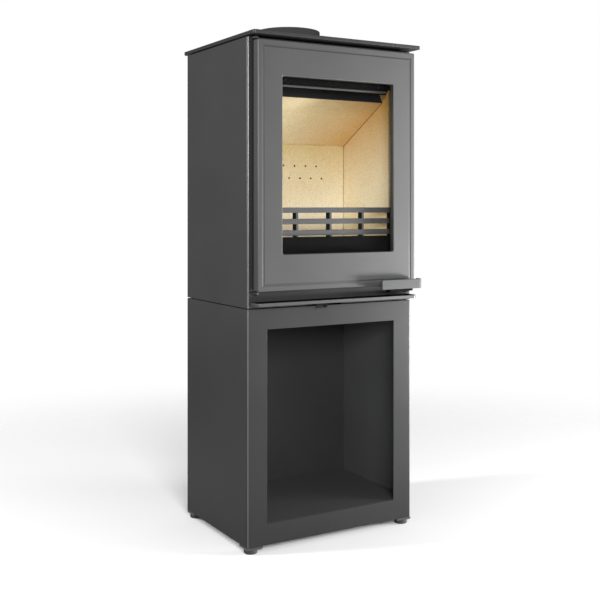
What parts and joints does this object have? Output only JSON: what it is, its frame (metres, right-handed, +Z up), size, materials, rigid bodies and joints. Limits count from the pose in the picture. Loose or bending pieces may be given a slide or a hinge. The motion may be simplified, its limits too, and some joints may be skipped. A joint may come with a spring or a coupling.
{
  "type": "wood burning stove",
  "caption": "Tall steel wood burning stove on an open log store, with a glazed front door, swing handle, pale brick lining, log fence and top flue collar.",
  "frame": {"origin": "centre of the bounding box on the floor, under the feet", "axes": "+Z up, front of the stove towards -Y, +X to the right seen from the front"},
  "size_m": [0.426, 0.378, 1.135],
  "materials": {
    "paint": "matt heat-resistant graphite paint, fine grain",
    "door_paint": "matt heat-resistant graphite paint on cast iron",
    "cast_iron": "fine cast grain, painted grey",
    "inner_steel": "black heat-resistant paint, slightly sooty",
    "sill_steel": "smooth matt black",
    "vermiculite": "pressed vermiculite board, fine flecks",
    "galvanised": "zinc-plated",
    "glass": "clear glass-ceramic",
    "seal_rope": "braided glass-fibre rope, dark",
    "handle_paint": "satin graphite grey",
    "black_steel": "black oxide",
    "foot_rubber": "dark moulded pad"
  },
  "bodies": {
    "cabinet": {"lower_casing": "paint", "log_store_floor": "paint", "lower_back_panel": "paint", "lower_cabinet_deck": "paint", "upper_casing": "paint", "rear_heat_shield": "paint", "top_plate": "paint", "hinge_lug_bottom": "paint", "hinge_lug_top": "paint", "corner_plate_front_left": "paint", "corner_plate_front_right": "paint", "corner_plate_rear_left": "paint", "corner_plate_rear_right": "paint", "ash_lip": "door_paint", "flue_collar": "cast_iron", "grate": "cast_iron", "log_fence": "cast_iron", "airwash_deflector": "inner_steel", "baffle_front_rail": "inner_steel", "upper_base_plate": "inner_steel", "top_rail_left": "inner_steel", "top_rail_right": "inner_steel", "firebox_front_plate": "inner_steel", "firebox_floor": "inner_steel", "firebox_side_left": "inner_steel", "firebox_side_right": "inner_steel", "firebox_back": "inner_steel", "firebox_roof": "inner_steel", "door_neck": "inner_steel", "ash_well": "inner_steel", "rear_air_duct": "inner_steel", "sill_plate": "sill_steel", "lining_left": "vermiculite", "lining_right": "vermiculite", "lining_back": "vermiculite", "hearth_slab_left": "vermiculite", "hearth_slab_right": "vermiculite", "baffle": "vermiculite", "ash_pan": "galvanised", "latch_keeper": "black_steel", "hinge_washer_bottom": "black_steel", "hinge_washer_top": "black_steel", "hinge_pin_bottom": "black_steel", "hinge_pin_top": "black_steel", "foot_pad_front_left": "foot_rubber", "foot_pad_front_right": "foot_rubber", "foot_pad_rear_left": "foot_rubber", "foot_pad_rear_right": "foot_rubber"},
    "door": {"door_frame": "door_paint", "door_glass": "glass", "glass_gasket": "seal_rope", "glass_clamp_left": "galvanised", "glass_clamp_right": "galvanised", "door_seal": "seal_rope", "handle_pivot_pin": "black_steel", "handle_spacer": "galvanised"},
    "handle": {"handle_grip": "handle_paint", "handle_lever": "black_steel"},
    "air_control": {"air_slide": "black_steel", "air_slide_knob": "black_steel"}
  },
  "joints": [
    {"name": "door_hinge", "type": "hinge", "parent": "cabinet", "child": "door", "pos_m": [-0.1964, -0.143, 0.549], "axis": [0, 0, -1], "range_deg": [0, 110]},
    {"name": "handle_pivot", "type": "hinge", "parent": "door", "child": "handle", "pos_m": [0.18, -0.149, 0.54], "axis": [0, 0, 1], "range_deg": [0, 50]},
    {"name": "air_control_slide", "type": "slide", "parent": "cabinet", "child": "air_control", "axis": [1, 0, 0], "range_m": [0, 0.04]}
  ]
}
